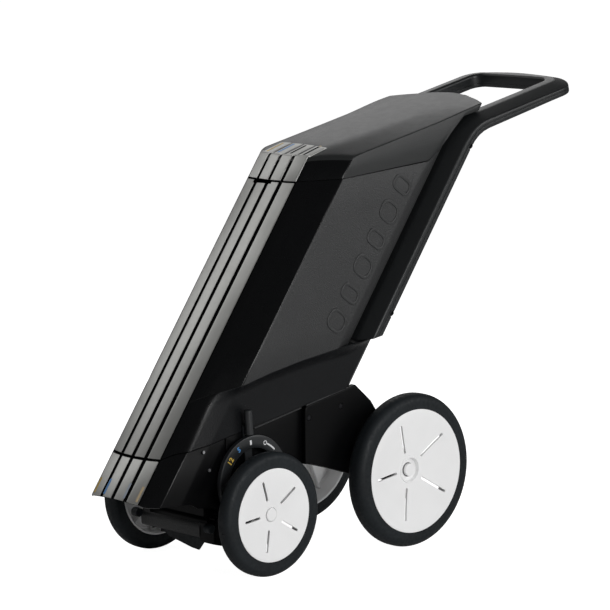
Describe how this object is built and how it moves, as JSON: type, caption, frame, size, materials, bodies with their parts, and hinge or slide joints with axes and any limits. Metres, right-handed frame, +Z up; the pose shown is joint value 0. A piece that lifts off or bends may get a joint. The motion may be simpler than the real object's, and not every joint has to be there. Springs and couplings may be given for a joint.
{
  "type": "field line marking cart",
  "caption": "Four-wheeled push cart that lays dry chalk lines: leaning lidded hopper, loop handle, wheel-driven feed rotor and a lever-set width valve.",
  "frame": {"origin": "on the ground, under the middle of the cart's overall box", "axes": "+Z up, +Y towards the push handle, so the cart rolls forward along -Y; +X is the side with the width dial"},
  "size_m": [0.3672, 1.1026, 0.9028],
  "materials": {
    "textured_plastic": "fine leather grain",
    "ribbed_silver": "satin silver",
    "gloss_black": "glossy",
    "frame_plastic": "satin",
    "natural_plastic": "satin",
    "screw_steel": "zinc plated",
    "dark_screw": "blackened",
    "shaft_steel": "ground",
    "valve_metal": "turned",
    "handle_plastic": "satin",
    "dial_plastic": "satin",
    "mark_yellow": "printed",
    "mark_blue": "printed",
    "mark_white": "printed",
    "seal_rubber": "soft",
    "tyre": "satin rubber",
    "disc_white": "semi gloss"
  },
  "bodies": {
    "frame": {"hopper_shell": "textured_plastic", "funnel": "natural_plastic", "hopper_strip_1": "ribbed_silver", "hopper_strip_2": "ribbed_silver", "hopper_strip_3": "ribbed_silver", "hopper_strip_4": "ribbed_silver", "nose_cover": "gloss_black", "nose_strips": "ribbed_silver", "nose_marks_wide": "mark_yellow", "nose_marks_narrow": "mark_blue", "chassis": "frame_plastic", "side_cover_right": "frame_plastic", "side_cover_left": "frame_plastic", "frame_screws": "screw_steel", "cover_screws": "screw_steel", "feed_housing": "natural_plastic", "chute": "frame_plastic", "wind_apron": "gloss_black", "front_bush_right": "natural_plastic", "front_bush_left": "natural_plastic", "shaft_bushes": "natural_plastic", "rear_axle": "shaft_steel", "axle_spacer_right": "natural_plastic", "axle_spacer_left": "natural_plastic", "axle_nuts": "screw_steel", "dial_ring": "dial_plastic", "dial_marks_wide": "mark_yellow", "dial_marks_narrow": "mark_blue", "dial_marks_plain": "mark_white", "handle_front": "handle_plastic", "handle_rear": "handle_plastic", "handle_screws": "dark_screw", "hinge_bracket": "frame_plastic", "hinge_pin": "shaft_steel"},
    "lid": {"lid_shell": "textured_plastic", "lid_strips": "ribbed_silver", "lid_marks_wide": "mark_yellow", "lid_marks_narrow": "mark_blue", "lid_seal": "seal_rubber"},
    "front_wheels": {"front_axle": "shaft_steel", "axle_gear": "natural_plastic", "front_disc_right": "disc_white", "front_disc_left": "disc_white", "front_tyre_right": "tyre", "front_tyre_left": "tyre", "front_caps": "disc_white"},
    "feed_rotor": {"feed_shaft": "shaft_steel", "feed_rotor": "seal_rubber", "feed_gear": "natural_plastic"},
    "agitator": {"agitator": "shaft_steel", "agitator_gear": "natural_plastic"},
    "width_valve": {"valve_sleeve": "valve_metal", "width_lever": "dial_plastic"},
    "rear_wheel_right": {"rear_disc_right": "disc_white", "rear_tyre_right": "tyre", "hub_caps_right": "disc_white"},
    "rear_wheel_left": {"rear_disc_left": "disc_white", "rear_tyre_left": "tyre", "hub_caps_left": "disc_white"}
  },
  "joints": [
    {"name": "lid_hinge", "type": "hinge", "parent": "frame", "child": "lid", "pos_m": [0, 0.32535, 0.852], "axis": [-1, 0, 0], "range_deg": [0, 112]},
    {"name": "front_wheels_spin", "type": "hinge", "parent": "frame", "child": "front_wheels", "pos_m": [0, -0.30865, 0.119], "axis": [1, 0, 0], "continuous": true},
    {"name": "feed_rotor_spin", "type": "hinge", "parent": "frame", "child": "feed_rotor", "pos_m": [0, -0.30865, 0.179], "axis": [1, 0, 0], "continuous": true},
    {"name": "agitator_spin", "type": "hinge", "parent": "frame", "child": "agitator", "pos_m": [0, -0.30865, 0.235], "axis": [1, 0, 0], "continuous": true},
    {"name": "width_lever_turn", "type": "hinge", "parent": "frame", "child": "width_valve", "pos_m": [0, -0.30865, 0.179], "axis": [1, 0, 0], "range_deg": [-39.5, 49.5]},
    {"name": "rear_wheel_right_spin", "type": "hinge", "parent": "frame", "child": "rear_wheel_right", "pos_m": [0, 0.07135, 0.1522], "axis": [1, 0, 0], "continuous": true},
    {"name": "rear_wheel_left_spin", "type": "hinge", "parent": "frame", "child": "rear_wheel_left", "pos_m": [0, 0.07135, 0.1522], "axis": [1, 0, 0], "continuous": true}
  ],
  "couplings": [
    {"joint": "feed_rotor_spin", "follows": "front_wheels_spin", "ratio": -1.5},
    {"joint": "agitator_spin", "follows": "front_wheels_spin", "ratio": 1.125}
  ]
}
